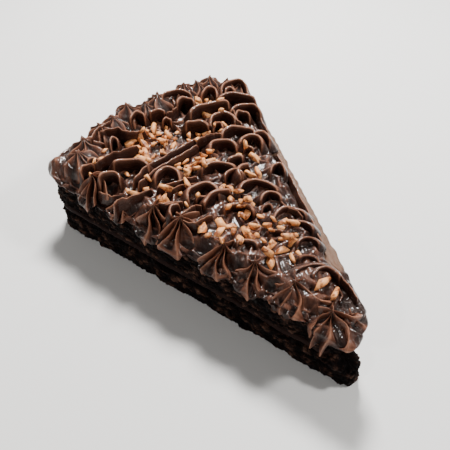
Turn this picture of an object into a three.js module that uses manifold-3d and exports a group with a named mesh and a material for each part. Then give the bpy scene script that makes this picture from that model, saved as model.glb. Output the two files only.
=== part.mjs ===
// A slice of chocolate brownie cake: two crumb layers with a thin dark filling between them,
// under a bed of chocolate frosting piped in star dabs and curls.
//
// Millimetres, +Z up. The slice stands on its lower crumb layer with its tip towards +X,
// and the origin is at the middle of its bounding box, on the surface it stands on.

import * as THREE from 'three';
import { mergeVertices } from 'three/addons/utils/BufferGeometryUtils.js';
import Module from 'manifold-3d';

const wasm = await Module();
wasm.setup();

// ---- driving dimensions -------------------------------------------------------------------

const TIP_X = 71.25; // datum near the tip, from which the piping is placed
const MIDDLE_Y = -2.4; // and the sideways datum
const HALF_ANGLE = THREE.MathUtils.degToRad(20.55); // about a ninth of a round cake
const TURN = THREE.MathUtils.degToRad(-2.5); // from the slice's length to its middle line
const CAKE_RADIUS = 150; // from the point where the cut sides would meet to the rim
const APEX = new THREE.Vector2(TIP_X + 10.2, MIDDLE_Y - 4.7); // where the cut sides would meet

const LOWER_HEIGHT = 11;
const FILLING_HEIGHT = 3;
const UPPER_HEIGHT = 12;
const BED_HEIGHT = 3; // frosting spread flat under the piping
const GAP = 0.3; // clearance between pieces that touch

const FILLING_Z = LOWER_HEIGHT;
const UPPER_Z = FILLING_Z + FILLING_HEIGHT;
const BED_Z = UPPER_Z + UPPER_HEIGHT;
const BED_TOP = BED_Z + BED_HEIGHT;

const FAR_CORNER = 9; // radius of the corner between the rim and the far cut side
const NEAR_CORNER = 12; // and the near one
const LOWER_TIP = 5; // radius of the lower layer's tip
const UPPER_TIP = 7;
const BED_TIP = 9;
const UPPER_INSET = 0.8; // the upper layer stands a little inside the lower one
const CRUMB_EDGE = 1.3; // soft edge of a crumb layer
const CRUMB_WAVE = 0.5; // how far the torn crumb wanders from a straight cut
const CRUMB_WAVELENGTH = 25;
const SIDE_STEPS = 10; // facets along a torn cut side
const BED_OVERHANG = 0.9; // the bed laps over the cut sides

const WALL = 2.6; // a curl's wall at its foot
const CREST = 1.2; // and at its crest
const FLARE = 0.9; // how far the wall leans out at its crest
const CURL_SWEEP = THREE.MathUtils.degToRad(330);
const CURL_STEPS = 7;
const MOUND_HEIGHT = 2.2; // the pressed dab that a curl stands in

// ---- helpers ------------------------------------------------------------------------------

const mix = THREE.MathUtils.lerp;

function closedBody(geometry) {
  const bare = geometry.clone();
  bare.deleteAttribute('normal');
  bare.deleteAttribute('uv');
  const merged = mergeVertices(bare, 1e-4);
  return new wasm.Manifold(new wasm.Mesh({
    numProp: 3,
    vertProperties: new Float32Array(merged.attributes.position.array),
    triVerts: new Uint32Array(merged.index.array),
  }));
}

function bodyGeometry(body) {
  const mesh = body.getMesh();
  const geometry = new THREE.BufferGeometry();
  geometry.setAttribute('position', new THREE.BufferAttribute(mesh.vertProperties, 3));
  geometry.setIndex(new THREE.BufferAttribute(mesh.triVerts, 1));
  return geometry;
}

// Closes a stack of rings, each with the same number of points, with a fan on both ends.
function loft(rings, bottom, top) {
  const count = rings[0].length;
  const points = [...rings.flat(), bottom, top];
  const faces = [];
  for (let ring = 0; ring < rings.length - 1; ring += 1) {
    for (let k = 0; k < count; k += 1) {
      const a = ring * count + k;
      const b = ring * count + ((k + 1) % count);
      faces.push(a, b, b + count, a, b + count, a + count);
    }
  }
  const last = (rings.length - 1) * count;
  for (let k = 0; k < count; k += 1) {
    const next = (k + 1) % count;
    faces.push(points.length - 2, next, k);
    faces.push(points.length - 1, last + k, last + next);
  }
  const geometry = new THREE.BufferGeometry().setFromPoints(points);
  geometry.setIndex(faces);
  return geometry;
}

function shown(name, geometry, color, roughness) {
  const mesh = new THREE.Mesh(
    geometry,
    new THREE.MeshStandardMaterial({ color, roughness, metalness: 0 }),
  );
  mesh.name = name;
  return mesh;
}

// ---- the wedge ----------------------------------------------------------------------------

// The slice's outline seen from above: two cut sides, a rounded tip and the round rim.
// inset moves all of it inwards, and a larger tipRadius makes the tip blunter.
function wedge({ inset = 0, tipRadius = LOWER_TIP, wave = 0, phase = 0 }) {
  const apex = -inset / Math.sin(HALF_ANGLE);
  const rim = CAKE_RADIUS - inset + apex;
  const tipBack = tipRadius / Math.sin(HALF_ANGLE);
  const sideStart = tipRadius / Math.tan(HALF_ANGLE);
  const quarter = Math.PI / 2;
  const points = [];

  const polar = (centre, radius, from, to, steps, first = 0) => {
    for (let step = first; step <= steps; step += 1) {
      const angle = mix(from, to, step / steps);
      points.push([centre[0] + radius * Math.cos(angle), centre[1] + radius * Math.sin(angle)]);
    }
  };
  const along = (sign, from, to, steps) => {
    for (let step = 1; step < steps; step += 1) {
      const reach = mix(from, to, step / steps);
      const ripple = wave * Math.sin((reach / CRUMB_WAVELENGTH) * 2 * Math.PI + phase * sign);
      points.push([
        apex - reach * Math.cos(HALF_ANGLE) + ripple * Math.sin(HALF_ANGLE),
        sign * (reach * Math.sin(HALF_ANGLE) + ripple * Math.cos(HALF_ANGLE)),
      ]);
    }
  };
  // A corner of the rim: its radius, the direction in which its centre lies, where that is,
  // and how far along the cut side the corner starts.
  const corner = (sign) => {
    const radius = (sign > 0 ? FAR_CORNER : NEAR_CORNER) - inset;
    const out = rim - radius;
    const angle = HALF_ANGLE - Math.asin(radius / out);
    const centre = [apex - out * Math.cos(angle), sign * out * Math.sin(angle)];
    return { radius, angle, centre, start: Math.sqrt(out ** 2 - radius ** 2) };
  };

  const far = corner(1);
  const near = corner(-1);
  const steps = wave > 0 ? SIDE_STEPS : 2;
  polar([apex - tipBack, 0], tipRadius, HALF_ANGLE - quarter, quarter - HALF_ANGLE, 6);
  along(1, sideStart, far.start, steps);
  polar(far.centre, far.radius, quarter - HALF_ANGLE, Math.PI - far.angle, 5);
  polar([apex, 0], rim, Math.PI - far.angle, Math.PI + near.angle, 10, 1);
  polar(near.centre, near.radius, Math.PI + near.angle, 1.5 * Math.PI + HALF_ANGLE, 5, 1);
  along(-1, near.start, sideStart, steps);
  const origin = new THREE.Vector2();
  return new THREE.Shape(
    points.map(([x, y]) => new THREE.Vector2(x, y).rotateAround(origin, TURN).add(APEX)),
  );
}

function slab(shape, z, height, edge) {
  const geometry = new THREE.ExtrudeGeometry(shape, {
    depth: height - 2 * edge,
    bevelEnabled: edge > 0,
    bevelThickness: edge,
    bevelSize: edge,
    bevelOffset: -edge,
    bevelSegments: 1,
    curveSegments: 1,
  });
  geometry.translate(0, 0, z + edge);
  return geometry;
}

const lowerOutline = { wave: CRUMB_WAVE, phase: 0.4 };
const upperOutline = {
  inset: UPPER_INSET,
  tipRadius: UPPER_TIP,
  wave: CRUMB_WAVE,
  phase: 2.1,
};

function brownieLower() {
  return slab(wedge(lowerOutline), 0, LOWER_HEIGHT, CRUMB_EDGE);
}

function filling() {
  const outline = wedge({ inset: 2, tipRadius: UPPER_TIP });
  return slab(outline, FILLING_Z + GAP, FILLING_HEIGHT - 2 * GAP, 0);
}

function brownieUpper() {
  return slab(wedge(upperOutline), UPPER_Z, UPPER_HEIGHT, CRUMB_EDGE);
}

// ---- the frosting -------------------------------------------------------------------------

// Star dabs along the near cut side, from the tip to the rim: how far back from the tip, how
// far to the side, reach of the ridges, height of the pulled peak, number of ridges, first
// ridge's direction in degrees, and foot of the skirt that laps over the cut side.
const SIDE_STARS = [
  [13.6, -7, 8.5, 32, 8, 18, 17],
  [28, -8.5, 9.5, 33, 8, 25, 24],
  [42, -13.7, 9.2, 34, 8, 28, 22.5],
  [53.5, -17.7, 9, 34.5, 7, 15, 22.5],
  [71, -22.4, 9.8, 36, 8, 15, 23],
  [82, -26.4, 9.5, 36, 7, 30, 22],
  [95.5, -32, 8.5, 33.5, 7, 10, 24],
  [108.5, -36.5, 8.5, 36.5, 7, 20, 21],
];

// Star dabs around the rim, from its near corner to its far one, given the same way.
const RIM_STARS = [
  [124.5, -37.2, 11, 38, 7, 0, 20],
  [127.5, -29.5, 10.5, 38, 7, 23, 19],
  [131, -20.5, 9.5, 39, 7, 46, 19],
  [133.6, -13, 8.5, 39, 7, 17, 19],
  [136, -4.5, 8, 39.3, 7, 40, 19],
  [134.5, 10, 8.5, 39, 7, 12, 19],
  [133, 23, 8.5, 39.3, 7, 35, 19],
  [130.5, 35, 8.5, 39.3, 7, 6, 19],
  [123, 45, 8, 38, 7, 30, 20],
];
const RIM_LEAN = 2.5; // their peaks are pulled outwards

// Dabs pressed low among the curls, given the same way but without a skirt.
const PRESSED = [
  [121, 5, 9, 33.5, 6, 10],
  [118, -9, 9, 33.5, 6, 40],
  [107, 1, 8.5, 33.5, 6, 25],
  [105, 15, 8, 34, 6, 0],
  [103, -26, 9, 34.5, 6, 30],
  [86, -15, 8, 34, 6, 20],
  [79, 14, 8, 34, 6, 5],
  [54, -4, 8, 33.5, 6, 15],
];

// Curls: how far back, how far to the side, reach, height of the crest, and the direction in
// degrees in which the curl opens.
const CURLS = [
  [20.5, 2.5, 5.5, 33, -40],
  [35.5, 5, 6, 33.5, -60],
  [45, 8, 5.5, 34.5, -50],
  [53.5, 8.5, 6, 34.5, -30],
  [63, -3, 5.5, 35, -40],
  [65, 7.5, 8, 36, -35],
  [66, 18, 6, 35, -60],
  [73, 22, 5.5, 35.5, -50],
  [76, -8, 7, 36, -40],
  [82, 4.5, 7.5, 36, -30],
  [88, 24, 6.5, 36.5, -40],
  [93, 33, 6, 36, -60],
  [95, -13, 6, 36, -20],
  [96, 15, 8, 37, -40],
  [107, 32, 7, 37, -50],
  [110, 24, 6, 37, -50],
  [113, 12, 6, 36.5, -40],
  [117, 39, 8, 37.5, -50],
  [114, -24, 7.5, 37, -30],
  [124, -18, 7, 37.5, -20],
  [123, 20, 7, 37.5, -30],
];

// Ridges dragged across the slice: the points they pass over, back from the tip and to the
// side, and the height of the crest.
const RIDGES = [
  { points: [[101, 10], [102, -2], [101.5, -13], [99, -23]], crest: 35 },
  { points: [[28, 8], [45, 15], [62, 22], [78, 29], [94, 37]], crest: 32 },
];

// A star dab's sections from the foot up: the reach of its ridges, the reach of its valleys
// as a share of that, and how far the ridges have turned. lean pulls the peak away from
// the point where the cut sides would meet.
function starDab([back, side, reach, peak, ridges, first, foot = BED_Z + GAP], lean = 0) {
  const skirt = [
    { z: foot, reach: 0.84, valley: 0.82, turn: 0 },
    { z: mix(foot, BED_Z, 0.75), reach: 0.98, valley: 0.78, turn: 4 },
  ];
  const crown = [
    { z: mix(BED_TOP, peak, 0.15), reach: 0.93, valley: 0.66, turn: 14 },
    { z: mix(BED_TOP, peak, 0.62), reach: 0.54, valley: 0.56, turn: 30 },
    { z: mix(BED_TOP, peak, 0.9), reach: 0.18, valley: 0.56, turn: 52 },
  ];
  const levels = foot < BED_Z ? [...skirt, ...crown] : [{ ...skirt[1], z: foot }, ...crown];
  const centre = new THREE.Vector2(TIP_X - back, MIDDLE_Y + side);
  const outwards = centre.clone().sub(APEX).normalize();
  const axisAt = (z) => {
    const rise = Math.max(0, (z - BED_TOP) / (peak - BED_TOP));
    const point = centre.clone().addScaledVector(outwards, lean * rise * rise);
    return new THREE.Vector3(point.x, point.y, z);
  };
  const rings = levels.map((level) => {
    const ring = [];
    for (let k = 0; k < 2 * ridges; k += 1) {
      const radius = reach * level.reach * (k % 2 === 0 ? 1 : level.valley);
      const angle = (k / ridges) * Math.PI + THREE.MathUtils.degToRad(first + level.turn);
      const out = new THREE.Vector3(radius * Math.cos(angle), radius * Math.sin(angle), 0);
      ring.push(axisAt(level.z).add(out));
    }
    return ring;
  });
  return loft(rings, axisAt(foot), axisAt(peak));
}

// The low dab that a curl stands in.
function mound([back, side, reach]) {
  const ring = (radius, z) => {
    const points = [];
    for (let k = 0; k < 6; k += 1) {
      const angle = (k / 3) * Math.PI;
      points.push(new THREE.Vector3(
        TIP_X - back + radius * Math.cos(angle),
        MIDDLE_Y + side + radius * Math.sin(angle),
        z,
      ));
    }
    return points;
  };
  const foot = BED_Z + GAP;
  const top = BED_TOP + MOUND_HEIGHT;
  return loft(
    [ring(reach * 1.35, foot), ring(reach * 0.7, top)],
    new THREE.Vector3(TIP_X - back, MIDDLE_Y + side, foot),
    new THREE.Vector3(TIP_X - back, MIDDLE_Y + side, top - MOUND_HEIGHT / 2),
  );
}

// A wall bent round on itself, its reach shrinking as it curls in.
function curl([back, side, reach, crest, opens]) {
  const start = THREE.MathUtils.degToRad(opens) + (2 * Math.PI - CURL_SWEEP) / 2;
  const foot = BED_Z + GAP;
  const rings = [];
  for (let step = 0; step <= CURL_STEPS; step += 1) {
    const share = step / CURL_STEPS;
    const angle = start + CURL_SWEEP * share;
    const radius = reach * mix(0.95, 0.5, share);
    const top = mix(BED_TOP, crest, Math.sin(Math.PI * mix(0.22, 0.85, share)));
    const across = (offset, z) => new THREE.Vector3(
      TIP_X - back + (radius + offset) * Math.cos(angle),
      MIDDLE_Y + side + (radius + offset) * Math.sin(angle),
      z,
    );
    rings.push([
      across(-WALL / 2, foot),
      across(FLARE - CREST / 2, top),
      across(FLARE + CREST / 2, top),
      across(WALL / 2, foot),
    ]);
  }
  return tube(rings);
}

// Joins sections along a path and closes both ends.
function tube(rings) {
  const middle = (ring) => ring.reduce((sum, p) => sum.add(p), new THREE.Vector3())
    .divideScalar(ring.length);
  return loft(rings, middle(rings[0]), middle(rings[rings.length - 1]));
}

function ridge({ points, crest }) {
  const path = new THREE.CatmullRomCurve3(
    points.map(([back, side]) => new THREE.Vector3(TIP_X - back, MIDDLE_Y + side, 0)),
  );
  const steps = points.length * 2;
  const foot = BED_Z + GAP;
  const rings = [];
  for (let step = 0; step <= steps; step += 1) {
    const share = step / steps;
    const point = path.getPointAt(share);
    const tangent = path.getTangentAt(share);
    const normal = new THREE.Vector3(-tangent.y, tangent.x, 0);
    const rise = Math.min(1, Math.sin(Math.PI * mix(0.1, 0.9, share)) * 1.4);
    const top = mix(BED_TOP, crest, rise);
    const across = (offset, z) => point.clone().addScaledVector(normal, offset).setZ(z);
    rings.push([
      across(WALL / 2, foot),
      across(CREST / 2, top),
      across(-CREST / 2, top),
      across(-WALL / 2, foot),
    ]);
  }
  return tube(rings);
}

function frosting() {
  const bed = wedge({ inset: UPPER_INSET - BED_OVERHANG, tipRadius: BED_TIP });
  let body = closedBody(slab(bed, BED_Z + GAP, BED_HEIGHT - GAP, 0));
  [...SIDE_STARS, ...PRESSED].forEach((star) => {
    body = body.add(closedBody(starDab(star)));
  });
  RIM_STARS.forEach((star) => {
    body = body.add(closedBody(starDab(star, RIM_LEAN)));
  });
  CURLS.forEach((spec) => {
    body = body.add(closedBody(mound(spec))).add(closedBody(curl(spec)));
  });
  RIDGES.forEach((spec) => {
    body = body.add(closedBody(ridge(spec)));
  });
  const room = { inset: UPPER_INSET - CRUMB_WAVE - GAP, tipRadius: UPPER_TIP };
  const crumb = closedBody(slab(wedge(room), -1, BED_Z + GAP + 1, 0));
  // Where dabs press together they can trap a bubble: only the outer skin is kept.
  return body.subtract(crumb).decompose().reduce((a, b) => (b.volume() > a.volume() ? b : a));
}

// ---- the slice ----------------------------------------------------------------------------

const body = frosting();
const slice = new THREE.Group();
slice.add(
  shown('brownie_lower', brownieLower(), 0x2e1b16, 0.85),
  shown('filling', filling(), 0x1d100d, 0.35),
  shown('brownie_upper', brownieUpper(), 0x341f19, 0.85),
  shown('frosting', bodyGeometry(body), 0x4a2d22, 0.3),
);

export default slice;
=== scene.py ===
import math
import random

import bmesh
import bpy
from bpy.props import FloatProperty, FloatVectorProperty, IntProperty, PointerProperty
from mathutils import Matrix, Vector, noise


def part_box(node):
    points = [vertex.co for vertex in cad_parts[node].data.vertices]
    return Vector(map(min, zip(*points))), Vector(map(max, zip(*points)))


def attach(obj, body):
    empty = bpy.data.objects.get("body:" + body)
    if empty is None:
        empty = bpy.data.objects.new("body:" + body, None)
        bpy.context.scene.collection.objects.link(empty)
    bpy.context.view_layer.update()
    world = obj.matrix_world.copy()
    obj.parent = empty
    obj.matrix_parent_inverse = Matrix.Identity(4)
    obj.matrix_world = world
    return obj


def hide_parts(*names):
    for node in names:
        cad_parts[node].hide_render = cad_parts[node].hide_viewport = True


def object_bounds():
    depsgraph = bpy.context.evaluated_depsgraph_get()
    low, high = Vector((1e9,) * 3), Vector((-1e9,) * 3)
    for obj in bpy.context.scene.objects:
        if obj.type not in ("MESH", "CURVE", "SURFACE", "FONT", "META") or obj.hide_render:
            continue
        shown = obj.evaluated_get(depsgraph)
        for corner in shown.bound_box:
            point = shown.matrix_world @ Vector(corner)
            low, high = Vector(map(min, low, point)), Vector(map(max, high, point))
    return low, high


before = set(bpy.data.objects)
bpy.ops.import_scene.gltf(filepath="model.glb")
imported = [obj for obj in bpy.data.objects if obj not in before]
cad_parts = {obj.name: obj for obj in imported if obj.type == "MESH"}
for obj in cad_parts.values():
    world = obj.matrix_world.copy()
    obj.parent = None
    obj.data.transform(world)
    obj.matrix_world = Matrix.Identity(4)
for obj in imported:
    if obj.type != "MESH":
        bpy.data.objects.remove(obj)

bl_info = {
    "name": "Frosted Brownie Slice",
    "version": (1, 0, 0),
    "blender": (4, 5, 0),
    "location": "3D View > Sidebar > Brownie",
    "description": "Dresses a slice of frosted brownie cake: crumb, filling, piped frosting and flakes",
    "category": "Object",
}

# Shapes are worked out in millimetres, and a finished piece is scaled to metres.
MM = 0.001
CAD_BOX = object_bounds()


def box_mm(node):
    low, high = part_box(node)
    return Vector(low) / MM, Vector(high) / MM


LOWER_LOW, LOWER_HIGH = box_mm("brownie_lower")
FILLING_LOW, FILLING_HIGH = box_mm("filling")
UPPER_LOW, UPPER_HIGH = box_mm("brownie_upper")

# The piping is placed from a datum near the tip and a sideways one. The cut sides meet past
# the tip, at equal angles to the slice's middle line, which is turned a little.
TIP_X = LOWER_HIGH.x - 0.96
MIDDLE_Y = LOWER_HIGH.y - 51.09
APEX = Vector((TIP_X + 10.2, MIDDLE_Y - 4.7))
HALF_ANGLE = math.radians(20.55)
TURN = math.radians(-2.5)
CAKE_RADIUS = 150.0

# How far the edges of a crumb layer are rounded, and the frosting bed's foot and top.
CRUMB_EDGE = 1.2
BED_Z = UPPER_HIGH.z + 0.2
BED_TOP = UPPER_HIGH.z + 2.4
# A place well inside the slice, which tells the outward side of its outline, and how far
# towards the rim from a layer's middle its drawn-in rings close.
INSIDE = Vector((-10.0, 0.0))
CLOSES_RIMWARDS = 8.0

# Star dabs along the near cut side, from the tip to the rim: how far back from the tip, how
# far to the side, height of the pulled peak, and the ridges. A ridge has the direction in
# degrees in which it runs, its reach, the height of its foot, and whether it folds over at
# its foot into the next ridge, so that the valley between them is a cup.
OPEN, CUP = range(2)
SIDE_STARS = (
    (13.6, -6.9, 32.5, (
        (-116, 7.2, 21, OPEN), (-84, 7.9, 17, OPEN), (-52, 8.4, 16.5, OPEN),
        (-2, 11, 25, OPEN), (58, 10.3, 28, OPEN), (120, 6, 28, OPEN),
        (184, 5.5, 27.5, OPEN))),
    (27.9, -8.4, 33, (
        (-98, 8.6, 25, OPEN), (-70, 7.6, 22.5, OPEN), (-34, 8.8, 24.5, OPEN),
        (26, 15, 28, OPEN), (86, 10.8, 30, CUP), (112, 10.5, 30, OPEN),
        (160, 8, 28.5, OPEN), (215, 8.7, 26.5, OPEN))),
    (42.2, -13.7, 34, (
        (-106, 6.4, 26, OPEN), (-56, 9.4, 22, OPEN), (-18, 9, 25, OPEN),
        (24, 12.5, 28.5, OPEN), (104, 6, 29.5, OPEN), (150, 6, 29, OPEN),
        (200, 6, 28, OPEN))),
    (53.4, -17.7, 34.8, (
        (-120, 9, 27, OPEN), (-88, 8.2, 22.5, OPEN), (-58, 8.2, 23.5, CUP),
        (-26, 8.4, 24.5, OPEN), (16, 6.5, 28.5, OPEN), (80, 6.5, 29.5, OPEN),
        (140, 6.5, 29.5, OPEN), (184, 8.4, 28.5, OPEN))),
    (70.9, -22.4, 36, (
        (-116, 9, 26.5, OPEN), (-92, 9.4, 23, CUP), (-46, 9.2, 23, OPEN),
        (-6, 8.5, 27, OPEN), (50, 8.5, 30, OPEN), (106, 9.5, 30.5, CUP),
        (160, 8, 29.5, OPEN), (208, 7.5, 28, OPEN))),
    (82, -26.4, 36, (
        (-108, 8.4, 25, OPEN), (-74, 9.2, 21.5, OPEN), (-38, 8.8, 23, OPEN),
        (10, 8, 28, OPEN), (76, 8.6, 30.5, OPEN), (136, 7, 29.5, OPEN),
        (198, 7.4, 28, OPEN))),
    (95.5, -31.5, 31.5, (
        (-118, 7.6, 26.5, CUP), (-78, 7.4, 25.5, OPEN), (-36, 8, 26, CUP),
        (12, 7.5, 28.5, OPEN), (80, 6.5, 29, OPEN), (155, 7.5, 28.5, OPEN))),
    (108.7, -36.7, 36.8, (
        (-134, 7.4, 23.5, OPEN), (-104, 7, 21.5, OPEN), (-66, 7.4, 22.5, OPEN),
        (-24, 7.8, 27, OPEN), (20, 10, 30, OPEN), (64, 9, 31.5, CUP),
        (125, 6, 30, OPEN), (180, 6, 28.5, OPEN))),
)

# Star dabs around the rim, from its near corner to its far one: how far back, how far to the
# side, height of the peak, reach, number of ridges, first ridge's direction and foot.
RIM_STARS = (
    (121.5, -34.6, 37.5, 8.6, 8, 0, 21.5),
    (127.5, -29.5, 38, 10, 7, 23, 19),
    (131, -20.5, 39, 9.5, 7, 46, 19),
    (133.6, -13, 38, 9, 7, 17, 19),
    (136, -4.5, 39.3, 9, 7, 40, 19),
    (135, 3.5, 37.2, 9, 7, 5, 19),
    (135, 10, 39, 9, 7, 12, 19),
    (134, 17, 37, 9, 7, 30, 19),
    (133.5, 23, 39.3, 9, 7, 35, 19),
    (132.5, 29.5, 38.6, 8.5, 7, 20, 19),
    (131, 36, 39.3, 8.5, 7, 6, 19),
    (126, 41.5, 38, 8, 7, 15, 19),
    (122, 45.5, 37, 7.5, 7, 30, 20),
)
RIM_LEAN = 2.5

# Dabs pressed low among the curls and behind the tip, given as the rim's stars are.
PRESSED = (
    (121, 6, 34, 9, 6, 10, 28.5),
    (117.5, -9.5, 34, 9, 6, 40, 28.5),
    (95, 3, 33.5, 8, 6, 25, 28.5),
    (9.5, -1.5, 30, 5.5, 5, 10, 23),
    (33, -4, 31.5, 7, 6, 20, 27.5),
)

# Curls: how far back, how far to the side, half their width, their depth, the direction in
# degrees towards which they are open, how far round they go in degrees, and which way.
CURLS = (
    (118, 39, 6, 9, -40, 215, 1),
    (119.5, 37.5, 2.1, 3.2, -40, 330, 1),
    (112, 34.5, 9, 7.2, -46, 180, 1),
    (102.5, 32.5, 6.5, 7.5, -46, 200, 1),
    (101.5, 30.5, 3, 4.8, -32, 330, 1),
    (122.5, 28, 3.5, 7.5, -46, 200, -1),
    (130, 16.5, 6.4, 4.6, -35, 320, 1),
    (123, 16, 3.8, 5.6, -32, 200, 1),
    (113.5, 22, 8.7, 4.2, -18, 175, 1),
    (104, 21.5, 5.5, 6.6, -35, 240, 1),
    (102.5, 18, 2.1, 4, -34, 210, 1),
    (108, 11.5, 4.7, 3.2, -40, 180, 1),
    (93, 22, 7, 5.6, -24, 195, 1),
    (86.5, 22.5, 4.4, 5.2, -40, 220, 1),
    (85, 19.5, 2, 2.4, -45, 180, 1),
    (86, 27, 4.2, 3.6, -58, 175, 1),
    (90.5, 11.5, 5.4, 5.6, -27, 205, 1),
    (82.5, 11.5, 3.1, 2.2, -20, 160, -1),
    (81.5, 2.5, 6.8, 5.3, -32, 185, 1),
    (68, 20, 2.6, 5.6, -43, 210, 1),
    (75, 11.5, 4.6, 3.6, 30, 160, 1),
    (120, -21, 1.7, 3.6, -38, 310, 1),
    (128, -5, 2.8, 3.9, -29, 215, 1),
    (125, 3, 3.3, 2.2, -22, 160, -1),
    (90, -15.5, 4.5, 5.7, -32, 250, -1),
    (101.5, -33.5, 4.2, 4.3, -40, 200, 1),
    (103, -23.5, 6.9, 4.2, -40, 180, 1),
    (75.5, -21.5, 2.7, 2.2, 30, 210, 1),
    (74, -10, 6, 7, -22, 215, 1),
    (73.5, -11, 2.5, 2, -25, 190, 1),
    (70.5, -6, 6.2, 2.8, 0, 170, 1),
    (61, -4.5, 5.2, 4.2, -43, 190, 1),
    (75, 4, 3.5, 5.2, -40, 180, 1),
    (64.5, 7.5, 6.9, 5.7, -36, 200, 1),
    (59, 8.5, 3.3, 4.1, -42, 230, 1),
    (56.5, 4.5, 1.9, 2.7, -42, 290, 1),
    (48.5, 8.5, 5.5, 4.7, -36, 300, 1),
    (42.5, 8, 3.9, 3.3, -55, 200, 1),
    (46.5, -0.5, 2.7, 1.6, -35, 180, 1),
    (35.5, 4.5, 3.6, 3.7, -42, 200, 1),
    (30.5, 0, 3.3, 2.8, -48, 190, 1),
    (28, -2, 5.2, 2.4, -22, 290, 1),
    (23, 0.5, 4, 3.8, -34, 210, 1),
    (48, -12, 3.3, 2.8, -45, 190, 1),
    (112.5, -36.5, 2.7, 2.2, 0, 210, 1),
    (115, -33, 2.3, 2.4, -40, 200, 1),
    (119.5, 4, 1.8, 2.2, -45, 230, 1),
)

# Height of the curls' crests near the tip and at the rim.
CREST_TIP, CREST_RIM = 33.0, 37.8

# Ridges dragged across the slice: the points they pass over, back from the tip and to the
# side, and the height of the crest.
RIDGES = (
    (((96, -28), (99.5, -21), (101, -14), (101.5, -6), (102, 1), (102.5, 8)), 36.6),
    (((93.5, -27), (96.5, -20), (98, -13), (98.5, -6), (99, 1), (99.5, 7)), 36),
    (((101, 5), (101, 10.5), (99.5, 14.5), (97, 17)), 36.8),
    (((112.5, -34.5), (113, -31), (114.5, -25), (112.5, -18.5), (111.5, -13.5)), 37.4),
    (((128, -24), (128.5, -20.5), (126.5, -15), (122, -14), (120, -11), (118, -6)), 37.6),
    (((126, -28.5), (130, -24), (132, -18.5), (132.5, -15)), 37.6),
    (((124, 6), (123.5, 9), (124.5, 13)), 37.2),
    (((104.5, -38), (101.5, -37), (98, -35), (96.5, -31)), 32),
    (((91.5, -38.5), (93, -36), (92, -32), (91.5, -28), (91, -24.5), (90, -21.5)), 34.4),
    (((82.5, -25.5), (80, -23), (78.5, -19.5), (77, -17.5)), 35.2),
    (((72, -22), (72.5, -18), (72.5, -15), (71, -13)), 35.4),
    (((71, -22.5), (68, -21.5), (66, -19.5), (66.5, -15.5), (66, -12)), 34.6),
    (((89, -21.5), (87.5, -16), (86, -10), (84, -4.5)), 35.4),
    (((85.5, -20.5), (85.5, -13.5), (83.5, -9.5), (81, -4.5)), 34.4),
    (((109, 31), (105.5, 29), (101.5, 27), (97.5, 27)), 36.8),
    (((104.5, 40), (99, 38), (93.5, 36), (89, 34)), 34.5),
    (((57, 10.5), (52, 10.5), (49.5, 12.5), (45.5, 12)), 34.2),
    (((23, 5.5), (19, 5), (15.5, 4.5), (11.5, 3)), 31.6),
    (((22, 0.5), (19, 1.5), (16, 0.5), (15, -2)), 30.6),
    (((81.5, 31), (73, 27.5), (64.5, 24), (56.5, 20.5), (48.5, 17), (40.5, 13), (32, 9)), 31.8),
)

# Clusters of flakes: how far back, how far to the side, spread along and across, how many,
# and the direction in degrees in which most of them lie.
FLAKE_CLUSTERS = (
    (124, 26, 3, 3, 5, 20),
    (113.5, 26.5, 3, 4, 5, 30),
    (104.5, 18, 2.5, 4, 5, 60),
    (106, 8, 3, 5, 6, 60),
    (116, 1, 4, 4, 7, 10),
    (119.5, -8, 4, 6, 10, 60),
    (110.5, -7, 4, 7, 13, -20),
    (113, -14.5, 3, 3, 3, -40),
    (102, -18, 2, 7, 3, 10),
    (92, 0, 4, 6, 15, 70),
    (84.5, 17, 2.5, 3, 3, -30),
    (75, 14, 2, 2, 2, -40),
    (121, -26, 2.5, 2.5, 3, 70),
    (112, -35.5, 2, 2, 2, -10),
    (95.5, -25, 3, 4, 4, 30),
    (85.5, -21, 3, 3, 6, -30),
    (80, -14, 4, 4, 4, -20),
    (72, 1.5, 3, 3, 4, -50),
    (64, -5, 4, 4, 5, -50),
    (57, -3, 6, 5, 12, 30),
    (46, 0, 5, 6, 13, 60),
    (58, -14, 6, 4, 9, -20),
    (40, -3, 4, 5, 4, -50),
    (24, -3.5, 2, 2, 1, -50),
    (18.5, 0, 1.5, 1.5, 1, -50),
)


# ---- sizes and colours a user would change ----------------------------------------------------


def hex_linear(code):
    """An sRGB hex colour as the linear values that a shader takes."""
    channels = [int(code[k:k + 2], 16) / 255 for k in (0, 2, 4)]
    return [c / 12.92 if c <= 0.04045 else ((c + 0.055) / 1.055) ** 2.4 for c in channels]


def colour_property(name, description, code):
    return FloatVectorProperty(
        name=name, description=description, subtype="COLOR", size=3,
        min=0.0, max=1.0, default=hex_linear(code),
    )


class CrumbSettings(bpy.types.PropertyGroup):
    """The baked chocolate crumb of both layers"""

    grain: FloatProperty(
        name="Grain", description="Width of one crumb on the cut side, in millimetres",
        default=1.6, min=0.5, max=4.0)
    relief: FloatProperty(
        name="Relief", description="How far the torn crumb stands in and out, in millimetres",
        default=1.6, min=0.0, max=3.0)
    spacing: FloatProperty(
        name="Spacing", description="Width of a face on the cut side, in millimetres",
        default=0.45, min=0.3, max=2.0)
    # The pore colour is painted shade in the pores and cracks, and the knob colour is painted light on
    # the crumbs that stand out; between them the tone also varies at random.
    pore_shade: colour_property("Pore", "Colour in the pores and cracks", "070303")
    body: colour_property("Crumb", "Colour of most of the crumb", "1A0E0A")
    lit_knob: colour_property("Knob", "Colour of the drier crumbs that stand out", "64473A")


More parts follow.
